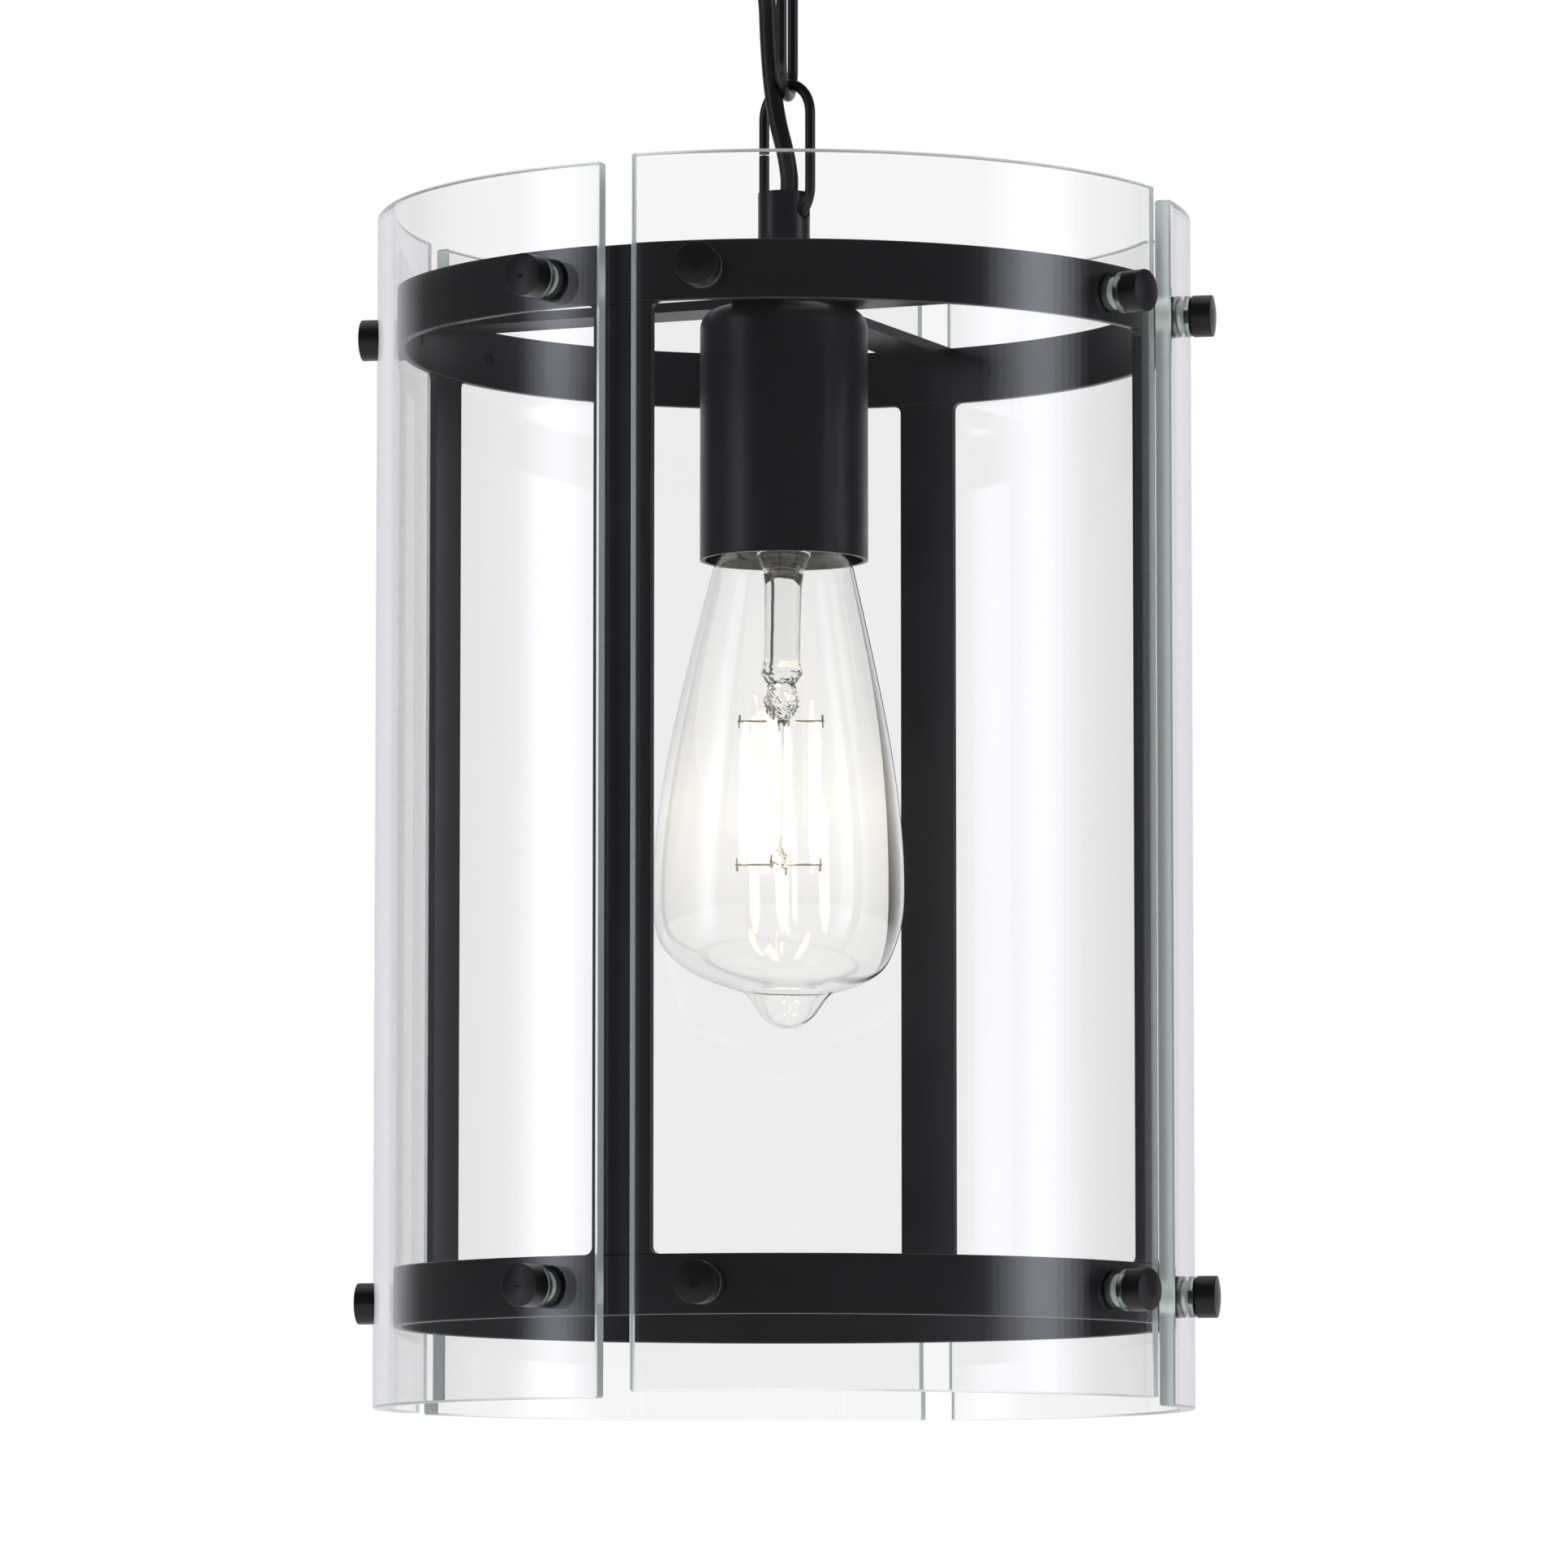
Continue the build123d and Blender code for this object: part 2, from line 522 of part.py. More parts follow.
def nodes():
    made = {
        "ceiling_bracket": ceiling_bracket(),
        "rose_cover": rose_cover(),
        "rose_nipple": band(NIPPLE_RADIUS - 0.02, NIPPLE_BORE, -ROSE_DEPTH - 6.9, -0.1),
        "nipple_locknut": hexagon_nut(14.0, NIPPLE_RADIUS + 0.03, -BRACKET_THICK - 3.0, -BRACKET_THICK - GAP),
        "loop_collar": loop_collar(),
        "hanging_loop": hanging_loop(),
        "rose_cord_grip": cord_grip(),
        "terminal_block": terminal_block(),
        "earth_screw": earth_screw(),
        "chain_link_upper": link(UPPER_LINK_AZIMUTH, UPPER_LINK_BOTTOM),
        "chain_link_lower": link(LOWER_LINK_AZIMUTH, LOWER_LINK_BOTTOM),
        "flex_upper": flex(FLEX_UPPER),
        "flex_middle": flex(FLEX_MIDDLE),
        "flex_lower": flex(FLEX_LOWER),
        "stem_tube": stem_tube(),
        "stem_nipple": stem_nipple(),
        "stem_locknut": hexagon_nut(14.0, NIPPLE_RADIUS + 0.03, CUP_TOP - CUP_WALL - 3.1, CUP_TOP - CUP_WALL - GAP),
        "top_cross": top_cross(),
        "upper_ring": ring(RING_MIDDLES["upper"]),
        "lower_ring": ring(RING_MIDDLES["lower"]),
        "holder_cup": holder_cup(),
        "holder_body": holder_body(),
        "holder_screw_shell": screw_shell(),
        "holder_centre_contact": centre_contact(),
        "lamp_glass": lamp_glass(),
        "lamp_cap": lamp_cap(),
        "lamp_insulator": lamp_insulator(),
        "lamp_contact": lamp_contact(),
        "lamp_stem": lamp_stem(),
        "lamp_filaments": together([lamp_filament(FILAMENT_TURN + 90 * k) for k in range(4)]),
        "lamp_wires": together(
            [lamp_wires(FILAMENT_TURN + 90 * k, FILAMENT_TOP + 0.35 + 0.75 * (k % 2), 1) for k in range(4)]
            + [lamp_wires(FILAMENT_TURN + 90 * k, FILAMENT_BOTTOM - 0.35, -1) for k in range(4)]),
    }
    for name, azimuth in post_azimuths().items():
        made[f"post_{name}"] = post(azimuth)
    for panel in PANELS:
        made[f"glass_panel_{panel}"] = glass_panel(panel)
        places = fixing_places(panel)
        made[f"knobs_{panel}"] = together([knob(*p) for p in places])
        made[f"studs_{panel}"] = together([stud(*p) for p in places])
        made[f"bushes_{panel}"] = together([bush(*p) for p in places])
        made[f"washers_{panel}"] = together([inner_washer(*p) for p in places])
    return made


os.makedirs("parts", exist_ok=True)
for name, shape in nodes().items():
    export_step(shape, f"parts/{name}.step")
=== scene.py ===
"""Looks for the hanging lantern: clear bent panes on a satin black cage, chain, flex and a lit pear lamp.

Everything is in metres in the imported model's frame: the origin is the centre of the ceiling plane, +Z is up and
-Y is the front. Azimuth 0 points to -Y and grows towards +X.
"""
from math import cos, degrees, pi, radians, sin

import bmesh
import bpy
from mathutils import Matrix, Vector


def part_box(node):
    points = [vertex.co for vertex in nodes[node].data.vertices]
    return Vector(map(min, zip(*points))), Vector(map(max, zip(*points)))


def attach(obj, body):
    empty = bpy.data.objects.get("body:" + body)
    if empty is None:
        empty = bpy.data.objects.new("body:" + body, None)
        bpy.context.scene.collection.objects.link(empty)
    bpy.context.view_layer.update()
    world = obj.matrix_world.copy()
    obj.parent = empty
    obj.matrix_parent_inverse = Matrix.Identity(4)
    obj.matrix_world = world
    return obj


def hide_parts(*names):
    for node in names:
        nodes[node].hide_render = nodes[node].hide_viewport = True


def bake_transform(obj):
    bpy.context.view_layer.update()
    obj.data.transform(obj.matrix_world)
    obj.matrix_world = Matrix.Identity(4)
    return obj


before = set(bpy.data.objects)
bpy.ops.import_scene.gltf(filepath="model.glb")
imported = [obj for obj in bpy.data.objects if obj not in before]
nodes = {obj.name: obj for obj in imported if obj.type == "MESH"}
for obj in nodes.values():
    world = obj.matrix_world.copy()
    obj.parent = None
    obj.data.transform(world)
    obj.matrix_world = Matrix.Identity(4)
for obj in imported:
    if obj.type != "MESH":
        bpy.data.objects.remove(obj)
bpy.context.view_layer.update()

MM = 0.001
MERGE = 1e-7               # points closer than this are one
ROUTE_STEPS = 12           # of a cord's curve, from one of its points to the next
TUBE_SIDES = 24
TUBE_SHARP = 50.0          # degrees between faces beyond which a tube's edge stays sharp
SIDES = ("front", "right", "back", "left")     # of the panes and of the posts

# ---- camera -----------------------------------------------------------------------------------
CAMERA_PLACE = (0.0, -2.21515, -0.465)
CAMERA_RISE = 5.645        # degrees above level
CAMERA_LENS = 208.70       # on a 36 mm sensor

camera_data = bpy.data.cameras.new("camera")
camera_data.lens = CAMERA_LENS
camera_data.sensor_width = 36.0
camera_data.clip_start = 0.05
camera_data.clip_end = 60.0
camera = bpy.data.objects.new("camera", camera_data)
camera.location = CAMERA_PLACE
camera.rotation_euler = (radians(90.0 + CAMERA_RISE), 0.0, 0.0)
bpy.context.scene.collection.objects.link(camera)
bpy.context.scene.camera = camera


# ---- small helpers ----------------------------------------------------------------------------
def around(azimuth, radius, height=0.0):
    """Point at an azimuth in degrees and a radius about the lantern's axis."""
    return Vector((radius * sin(radians(azimuth)), -radius * cos(radians(azimuth)), height))


def link_mesh(name, verts, faces, material, smooth=True):
    """A new object from points and faces, with its normals outwards."""
    mesh = bpy.data.meshes.new(name)
    mesh.from_pydata([tuple(v) for v in verts], [], faces)
    work = bmesh.new()
    work.from_mesh(mesh)
    bmesh.ops.recalc_face_normals(work, faces=work.faces)
    work.to_mesh(mesh)
    work.free()
    if smooth:
        mesh.polygons.foreach_set("use_smooth", [True] * len(mesh.polygons))
    mesh.materials.append(material)
    obj = bpy.data.objects.new(name, mesh)
    bpy.context.scene.collection.objects.link(obj)
    return obj


def shade_by_angle(obj, angle):
    """Smooth shading that keeps the edges sharper than the angle."""
    mesh = obj.data
    mesh.polygons.foreach_set("use_smooth", [True] * len(mesh.polygons))
    mesh.set_sharp_from_angle(angle=radians(angle))
    return obj


def spline_points(route):
    """Points along the smooth curve that has the route's points as its control points."""
    data = bpy.data.curves.new("route", "CURVE")
    data.dimensions = "3D"
    spline = data.splines.new("NURBS")
    spline.points.add(len(route) - 1)
    for point, place in zip(spline.points, route):
        point.co = (*place, 1.0)
    spline.order_u = 3
    spline.use_endpoint_u = True
    spline.resolution_u = ROUTE_STEPS
    obj = bpy.data.objects.new("route", data)
    bpy.context.scene.collection.objects.link(obj)
    bpy.context.view_layer.update()
    mesh = bpy.data.meshes.new_from_object(obj.evaluated_get(bpy.context.evaluated_depsgraph_get()))
    points = [v.co.copy() for v in mesh.vertices]
    bpy.data.objects.remove(obj)
    bpy.data.meshes.remove(mesh)
    return points


def tube_mesh(name, points, radius, sides, material):
    """A round tube along points, closed at both ends, with its section carried along without twist."""
    count = len(points)
    tangents = []
    for k in range(count):
        before, after = points[max(k - 1, 0)], points[min(k + 1, count - 1)]
        tangents.append((after - before).normalized())
    side = tangents[0].orthogonal().normalized()
    sides_at = []
    for k in range(count):
        side = (side - tangents[k] * side.dot(tangents[k])).normalized()
        sides_at.append(side.copy())
    verts, faces = [], []
    for point, tangent, side in zip(points, tangents, sides_at):
        other = tangent.cross(side)
        for j in range(sides):
            a = 2 * pi * j / sides
            verts.append(point + (side * cos(a) + other * sin(a)) * radius)
    for k in range(count - 1):
        row, after = k * sides, (k + 1) * sides
        for j in range(sides):
            near = (j + 1) % sides
            faces.append((row + j, row + near, after + near, after + j))
    faces.append(tuple(reversed(range(sides))))
    faces.append(tuple(range((count - 1) * sides, count * sides)))
    return shade_by_angle(link_mesh(name, verts, faces, material), TUBE_SHARP)


def lathe_mesh(name, profile, turns, material, centre=(0.0, 0.0), closed=False):
    """Surface of revolution about a vertical axis. A point at radius 0 is one vertex."""
    verts, rings = [], []
    for radius, height in profile:
        if radius < MERGE:
            rings.append([len(verts)])
            verts.append((centre[0], centre[1], height))
            continue
        rings.append(list(range(len(verts), len(verts) + turns)))
        for j in range(turns):
            a = 2 * pi * j / turns
            verts.append((centre[0] + radius * cos(a), centre[1] + radius * sin(a), height))
    faces = []
    pairs = list(zip(rings, rings[1:]))
    if closed:
        pairs.append((rings[-1], rings[0]))
    for low, high in pairs:
        for j in range(turns):
            near = (j + 1) % turns
            if len(low) == 1 and len(high) == 1:
                continue
            if len(low) == 1:
                faces.append((low[0], high[near], high[j]))
            elif len(high) == 1:
                faces.append((low[j], low[near], high[0]))
            else:
                faces.append((low[j], low[near], high[near], high[j]))
    return link_mesh(name, verts, faces, material)


# ---- materials --------------------------------------------------------------------------------
def new_material(name):
    """A material with its shader and its node tree."""
    material = bpy.data.materials.new(name)
    material.use_nodes = True
    tree = material.node_tree
    return material, tree, tree.nodes["Principled BSDF"]


def noise(tree, scale, detail, stretch=None):
    """Noise in object space, optionally stretched."""
    place = tree.nodes.new("ShaderNodeTexCoord")
    texture = tree.nodes.new("ShaderNodeTexNoise")
    texture.inputs["Scale"].default_value = scale
    texture.inputs["Detail"].default_value = detail
    if stretch is None:
        tree.links.new(place.outputs["Object"], texture.inputs["Vector"])
    else:
        mapping = tree.nodes.new("ShaderNodeMapping")
        mapping.inputs["Scale"].default_value = stretch
        tree.links.new(place.outputs["Object"], mapping.inputs["Vector"])
        tree.links.new(mapping.outputs["Vector"], texture.inputs["Vector"])
    return texture


def ramp(tree, source, stops):
    """Colour ramp over a texture's value."""
    node = tree.nodes.new("ShaderNodeValToRGB")
    while len(node.color_ramp.elements) < len(stops):
        node.color_ramp.elements.new(0.5)
    for element, (place, colour) in zip(node.color_ramp.elements, stops):
        element.position = place
        element.color = (*colour, 1.0)
    tree.links.new(source, node.inputs["Fac"])
    return node.outputs["Color"]


def value_range(tree, source, low, high, at=(0.3, 0.7)):
    """A value spread from low to high, while its source goes over the range given by at."""
    node = tree.nodes.new("ShaderNodeMapRange")
    node.inputs["From Min"].default_value = at[0]
    node.inputs["From Max"].default_value = at[1]
    node.inputs["To Min"].default_value = low
    node.inputs["To Max"].default_value = high
    tree.links.new(source, node.inputs["Value"])
    return node.outputs["Result"]


def bump(tree, shader, source, distance, strength):
    """Fine relief that a texture draws on the shader."""
    node = tree.nodes.new("ShaderNodeBump")
    node.inputs["Distance"].default_value = distance
    node.inputs["Strength"].default_value = strength
    tree.links.new(source, node.inputs["Height"])
    tree.links.new(node.outputs["Normal"], shader.inputs["Normal"])


def powder_coat(name, dark, light, rough, grain, scale, ior=1.5):
    """Satin black coat: fine orange peel, faint cloudiness in colour and sheen."""
    material, tree, shader = new_material(name)
    cloud = noise(tree, 45.0, 4.0)
    peel = noise(tree, scale, 2.0)
    tree.links.new(ramp(tree, cloud.outputs["Fac"], [(0.3, dark), (0.7, light)]), shader.inputs["Base Color"])
    tree.links.new(value_range(tree, cloud.outputs["Fac"], rough - 0.04, rough + 0.05), shader.inputs["Roughness"])
    shader.inputs["IOR"].default_value = ior
    bump(tree, shader, peel.outputs["Fac"], grain, 0.5)
    return material


def metal(name, dark, light, rough):
    """Bare or plated metal with fine scratches."""
    material, tree, shader = new_material(name)
    cloud = noise(tree, 120.0, 4.0)
    scratch = noise(tree, 900.0, 2.0, stretch=(1.0, 1.0, 0.08))
    tree.links.new(ramp(tree, cloud.outputs["Fac"], [(0.3, dark), (0.7, light)]), shader.inputs["Base Color"])
    tree.links.new(value_range(tree, scratch.outputs["Fac"], rough - 0.06, rough + 0.1), shader.inputs["Roughness"])
    shader.inputs["Metallic"].default_value = 1.0
    bump(tree, shader, scratch.outputs["Fac"], 0.00002, 0.4)
    return material


def moulded(name, dark, light, rough, scale=600.0):
    """Moulded plastic or rubber with a fine texture."""
    material, tree, shader = new_material(name)
    cloud = noise(tree, 80.0, 3.0)
    fine = noise(tree, scale, 3.0)
    tree.links.new(ramp(tree, cloud.outputs["Fac"], [(0.3, dark), (0.7, light)]), shader.inputs["Base Color"])
    tree.links.new(value_range(tree, fine.outputs["Fac"], rough - 0.05, rough + 0.06), shader.inputs["Roughness"])
    bump(tree, shader, fine.outputs["Fac"], 0.00004, 0.5)
    return material


def clear_glass(name, tint, rough, ior, wave, scale):
    """Clear glass; wave is the height of its ripples in metres, and scale how close they are."""
    material, tree, shader = new_material(name)
    shade = noise(tree, scale, 2.0)
    pale = tuple(min(1.0, c * 1.012) for c in tint)
    tree.links.new(ramp(tree, shade.outputs["Fac"], [(0.3, tint), (0.7, pale)]), shader.inputs["Base Color"])
    shader.inputs["Transmission Weight"].default_value = 1.0
    shader.inputs["Roughness"].default_value = rough
    shader.inputs["IOR"].default_value = ior
    if wave:
        bump(tree, shader, shade.outputs["Fac"], wave, 1.0)
    return material


def ground_glass(name):
    """A pane's ground edge: it scatters, and a painted glow, emission standing in for the light that the pane
    gathers, makes it shine a little.
    """
    material = clear_glass(name, (0.80, 0.86, 0.85), 0.35, 1.46, 0.00002, 500.0)
    shader = material.node_tree.nodes["Principled BSDF"]
    shader.inputs["Transmission Weight"].default_value = 0.8
    # painted glow on the ground edge
    shader.inputs["Emission Color"].default_value = (0.74, 0.84, 0.82, 1.0)
    shader.inputs["Emission Strength"].default_value = 0.16
    return material


GLOW_HEIGHTS = (-0.306, -0.186)    # of the lamp's glass that the painted glow reaches
GLOW_STRENGTH = 0.055


def painted_lamp_glow(material):
    """Painted glow: faint warm emission in the lamp's glass, strongest beside the filaments, standing in for their
    scattered light.
    """
    tree = material.node_tree
    shader = tree.nodes["Principled BSDF"]
    place = tree.nodes.new("ShaderNodeTexCoord")
    parts = tree.nodes.new("ShaderNodeSeparateXYZ")
    tree.links.new(place.outputs["Object"], parts.inputs[0])
    share = value_range(tree, parts.outputs["Z"], 0.0, 1.0, at=GLOW_HEIGHTS)
    dim, bright = (0.08, 0.075, 0.055), (1.0, 0.91, 0.66)
    stops = [(0.0, dim), (0.25, (0.26, 0.24, 0.17)), (0.45, bright), (0.62, (0.36, 0.33, 0.24)), (1.0, dim)]
    # painted glow: warm emission colour of the glass, brightest at the filaments' height
    tree.links.new(ramp(tree, share, stops), shader.inputs["Emission Color"])
    shader.inputs["Emission Strength"].default_value = GLOW_STRENGTH


def glowing(name, colour, strength):
    """A lit filament: brighter beads along a coated rod."""
    material, tree, shader = new_material(name)
    beads = noise(tree, 900.0, 1.0, stretch=(0.2, 0.2, 1.0))
    warm = tuple(c * 0.8 for c in colour)
    tint = ramp(tree, beads.outputs["Fac"], [(0.3, warm), (0.7, colour)])
    tree.links.new(tint, shader.inputs["Emission Color"])
    tree.links.new(tint, shader.inputs["Base Color"])
    shader.inputs["Emission Strength"].default_value = strength
    shader.inputs["Roughness"].default_value = 0.5
    return material


coat = powder_coat("satin_black_coat", (0.0042, 0.0045, 0.0072), (0.0062, 0.0066, 0.0100), 0.33, 0.000002, 2600.0)
coat_chain = powder_coat("black_chain_coat", (0.006, 0.006, 0.007), (0.010, 0.010, 0.012), 0.30, 0.00002, 1500.0)
coat_knob = powder_coat("satin_black_knob", (0.004, 0.004, 0.005), (0.007, 0.007, 0.008), 0.34, 0.000003, 3000.0, 1.4)
zinc = metal("zinc_plate", (0.45, 0.46, 0.48), (0.6, 0.61, 0.63), 0.32)
dark_steel = metal("blackened_steel", (0.03, 0.03, 0.034), (0.06, 0.06, 0.066), 0.42)
brass = metal("brass", (0.55, 0.38, 0.16), (0.72, 0.52, 0.24), 0.28)
lamp_metal = metal("nickel_plate", (0.55, 0.54, 0.52), (0.72, 0.71, 0.69), 0.22)
nylon = moulded("pale_nylon", (0.62, 0.62, 0.58), (0.72, 0.72, 0.68), 0.45)
holder_plastic = moulded("black_moulding", (0.012, 0.012, 0.012), (0.022, 0.022, 0.022), 0.42)
rubber = moulded("black_rubber", (0.010, 0.010, 0.010), (0.018, 0.018, 0.018), 0.55)
flex_skin = moulded("black_flex_skin", (0.006, 0.006, 0.007), (0.012, 0.012, 0.013), 0.38, 1100.0)
black_glass = moulded("black_glass", (0.01, 0.01, 0.012), (0.02, 0.02, 0.024), 0.12)
pane = clear_glass("pane_glass", (0.973, 0.973, 0.977), 0.0, 1.46, 0.0, 12.0)
pane_edge = ground_glass("ground_edge")
envelope_glass = clear_glass("envelope_glass", (0.988, 0.986, 0.98), 0.0, 1.36, 0.0, 20.0)
# painted glow in the envelope glass
painted_lamp_glow(envelope_glass)
foot_glass = clear_glass("foot_glass", (0.95, 0.97, 0.96), 0.02, 1.5, 0.0001, 250.0)
silicone = clear_glass("clear_silicone", (0.66, 0.72, 0.70), 0.28, 1.41, 0.00003, 700.0)
filament = glowing("lit_filament", (1.0, 0.80, 0.50), 7.0)

NODE_MATERIALS = {
    coat: ["rose_cover", "loop_collar", "hanging_loop", "stem_tube", "top_cross", "upper_ring", "lower_ring",
           "holder_cup"] + [f"post_{p}" for p in SIDES],
    coat_chain: ["chain_link_upper", "chain_link_lower"],
    zinc: ["ceiling_bracket", "rose_nipple", "nipple_locknut", "stem_nipple", "stem_locknut"],
    dark_steel: [f"studs_{p}" for p in SIDES],
    brass: ["holder_screw_shell", "earth_screw", "holder_centre_contact"],
    nylon: ["rose_cord_grip", "terminal_block"],
    holder_plastic: ["holder_body"],
    rubber: [f"washers_{p}" for p in SIDES],
    flex_skin: ["flex_upper", "flex_middle", "flex_lower"],
    coat_knob: [f"knobs_{p}" for p in SIDES],
    silicone: [f"bushes_{p}" for p in SIDES],
    pane: [f"glass_panel_{p}" for p in SIDES],
    envelope_glass: ["lamp_glass"],
    foot_glass: ["lamp_stem"],
    lamp_metal: ["lamp_cap", "lamp_contact", "lamp_wires"],
    black_glass: ["lamp_insulator"],
    filament: ["lamp_filaments"],
}
for material, names in NODE_MATERIALS.items():
    for name in names:
        mesh = nodes[name].data
        mesh.materials.clear()
        mesh.materials.append(material)


# ---- panes ------------------------------------------------------------------------------------
PANE_OUTSIDE = 100.0 * MM
PANE_INSIDE = 96.0 * MM
PANE_ARC = 84.6            # degrees
PANE_ARRIS = 0.4 * MM      # ground off every edge
PANE_COLUMNS = 84
POST_AZIMUTH = -23.4       # of the front post
# from the front post: the middle of each pane, and the middle of the fixings that hold it
PANE_SWING = {"front": 44.5, "right": 135.1, "back": 224.6, "left": -44.9}
FIXING_SWING = {"front": 45, "right": 135, "back": 225, "left": -45}
FIX_ANGLE = 12.2           # degrees between a post's middle and the fixings beside it
HOLE_RADIUS = 4.0 * MM
HOLE_SIDES = 40
DRILL_REACH = 3.0 * MM     # past each face of the pane
RING_HEIGHTS = (-133.4 * MM, -372.4 * MM)      # the middles of both rings, where the holes are
ROW_REACH = 7.0 * MM       # rows of faces above and below each hole
PANE_SHARP = 25.0          # degrees
FACE_SHARE = 0.9           # how nearly radial the normal of a polished face is


def pane_blank(panel):
    """The bent pane before drilling: one section carried round from end to end."""
    low, high = (corner[2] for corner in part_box(f"glass_panel_{panel}"))
    a = PANE_ARRIS
    middle = POST_AZIMUTH + PANE_SWING[panel]
    rows = [low + a, high - a]
    for height in RING_HEIGHTS:
        rows += [height - ROW_REACH, height + ROW_REACH]
    rows.sort()
    full = [(PANE_OUTSIDE, z) for z in rows] + [(PANE_OUTSIDE - a, high), (PANE_INSIDE + a, high)]
    full += [(PANE_INSIDE, z) for z in reversed(rows)] + [(PANE_INSIDE + a, low), (PANE_OUTSIDE - a, low)]
    small = []
    for radius, height in full:
        small.append((min(max(radius, PANE_INSIDE + a), PANE_OUTSIDE - a), min(max(height, low + a), high - a)))
    half = PANE_ARC / 2
    lead = degrees(a / PANE_OUTSIDE)
    inner = half - lead
    places = [(-half, small)]
    places += [(-inner + 2 * inner * k / PANE_COLUMNS, full) for k in range(PANE_COLUMNS + 1)]
    places.append((half, small))
    work = bmesh.new()
    columns = []
    for turn, section in places:
        columns.append([work.verts.new(around(middle + turn, radius, height)) for radius, height in section])
    count = len(full)
    for before, after in zip(columns, columns[1:]):
        for j in range(count):
            near = (j + 1) % count
            work.faces.new((before[j], before[near], after[near], after[j]))
    work.faces.new(columns[0])
    work.faces.new(columns[-1])
    bmesh.ops.remove_doubles(work, verts=work.verts, dist=MERGE)
    bmesh.ops.dissolve_degenerate(work, edges=work.edges, dist=MERGE)
    bmesh.ops.recalc_face_normals(work, faces=work.faces)
    mesh = bpy.data.meshes.new(f"pane_{panel}")
    work.to_mesh(mesh)
    work.free()
    obj = bpy.data.objects.new(f"pane_{panel}", mesh)
    bpy.context.scene.collection.objects.link(obj)
    return obj


def drills(panel):
    """The four drills as one object."""
    verts, faces = [], []
    middle = POST_AZIMUTH + FIXING_SWING[panel]
    for azimuth in (middle - 45 + FIX_ANGLE, middle + 45 - FIX_ANGLE):
        out = around(azimuth, 1.0)
        level = Vector((0.0, 0.0, 1.0)).cross(out)
        for height in RING_HEIGHTS:
            first = len(verts)
            for reach in (PANE_INSIDE - DRILL_REACH, PANE_OUTSIDE + DRILL_REACH):
                for j in range(HOLE_SIDES):
                    turn = 2 * pi * j / HOLE_SIDES
                    across = level * (HOLE_RADIUS * cos(turn))
                    verts.append(out * reach + across + Vector((0.0, 0.0, height + HOLE_RADIUS * sin(turn))))
            for j in range(HOLE_SIDES):
                near = (j + 1) % HOLE_SIDES
                faces.append((first + j, first + near, first + HOLE_SIDES + near, first + HOLE_SIDES + j))
            faces.append(tuple(range(first, first + HOLE_SIDES)))
            faces.append(tuple(range(first + HOLE_SIDES, first + 2 * HOLE_SIDES)))
    return link_mesh("drills", verts, faces, pane_edge, smooth=False)


def pane_piece(panel):
    """A bent pane with arrised edges and four drilled holes; its cut faces are ground, not polished."""
    obj = pane_blank(panel)
    cutter = drills(panel)
    modifier = obj.modifiers.new("drill", "BOOLEAN")
    modifier.operation = "DIFFERENCE"
    modifier.solver = "EXACT"
    modifier.object = cutter
    mesh = bpy.data.meshes.new_from_object(obj.evaluated_get(bpy.context.evaluated_depsgraph_get()))
    obj.modifiers.clear()
    obj.data = mesh
    bpy.data.objects.remove(cutter)
    mesh.materials.clear()
    mesh.materials.append(pane)
    mesh.materials.append(pane_edge)
    for face in mesh.polygons:
        outward = Vector((face.center.x, face.center.y, 0.0)).normalized()
        face.material_index = 0 if abs(face.normal.dot(outward)) > FACE_SHARE else 1
    shade_by_angle(obj, PANE_SHARP)
    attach(obj, "lantern")
    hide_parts(f"glass_panel_{panel}")


for panel in SIDES:
    pane_piece(panel)


# ---- lamp -------------------------------------------------------------------------------------
LAMP_TOP = -162.2 * MM
LAMP_TILT = 0.94           # degrees, of the glass in its cap
LAMP_SEAT = LAMP_TOP - 24.0 * MM
LAMP_WALL = 0.55 * MM
LAMP_TURNS = 128
# side curve: radius and height below the lamp's top in millimetres, with the outward normal there; then the
# control handles that leave each point and that arrive at the next one
SIDE_POINTS = [(12.4, -17.5, 1, 0), (12.4, -24.8, 1, 0), (17.3, -31.0, 0.97, 0.23), (30.9, -111.0, 1, 0),
               (11.6, -134.9, 0.25, -0.96), (7.0, -140.2, 0.78, -0.62), (0, -144.0, 0, -1)]
SIDE_HANDLES = [((0, -2.4), (0, 2.4)), ((0, -2.4), (-0.9, 3.8)), ((5.9, -25.0), (0, 26.0)), ((0, -17.0), (11.5, 3.0)),
                ((-1.9, -0.5), (1.4, 1.8)), ((-1.6, -2.1), (3.0, 0))]
SIDE_STEPS = 18
NIPPLE_SHIFT = 2.8 * MM    # the sealed tip stands off the envelope's axis
NIPPLE_START = -122.0 * MM
NIPPLE_END = -136.0 * MM
# radius and height below the lamp's top in millimetres, like the three heights under it
FOOT_PROFILE = [(0, -22.5), (11.3, -22.5), (11.3, -23.5), (7.0, -27.0), (5.0, -31.5), (4.5, -36.0), (4.4, -46.0),
                (4.4, -54.0), (5.0, -56.0), (4.6, -57.2), (3.0, -59.5), (3.4, -61.5), (3.9, -63.5), (3.6, -65.5),
                (3.1, -67.0), (1.6, -68.4), (0.9, -70.0), (0.9, -99.5), (1.9, -101.0), (2.2, -102.8), (1.2, -104.2),
                (0, -104.6)]
FOOT_SIDES = 48
FOOT_STEPS = 4             # rows between two points of the profile
PINCH = (-68.5, -56.0)     # heights between which the foot is crumpled
FOOT_BEAD = -100.0         # and the height below which it is too
CRUMPLE = 0.13
FILAMENT_TURN = 80.0
FILAMENT_SPREAD = 8.8 * MM
FILAMENT_TOP = LAMP_TOP - 69.0 * MM
FILAMENT_LENGTH = 34.5 * MM
FILAMENT_RADIUS = 1.25 * MM
FILAMENT_TAPER = 7.0       # how soon the glow narrows towards a rod's ends
FILAMENT_BEADS = 22
BEAD_STEPS = 6
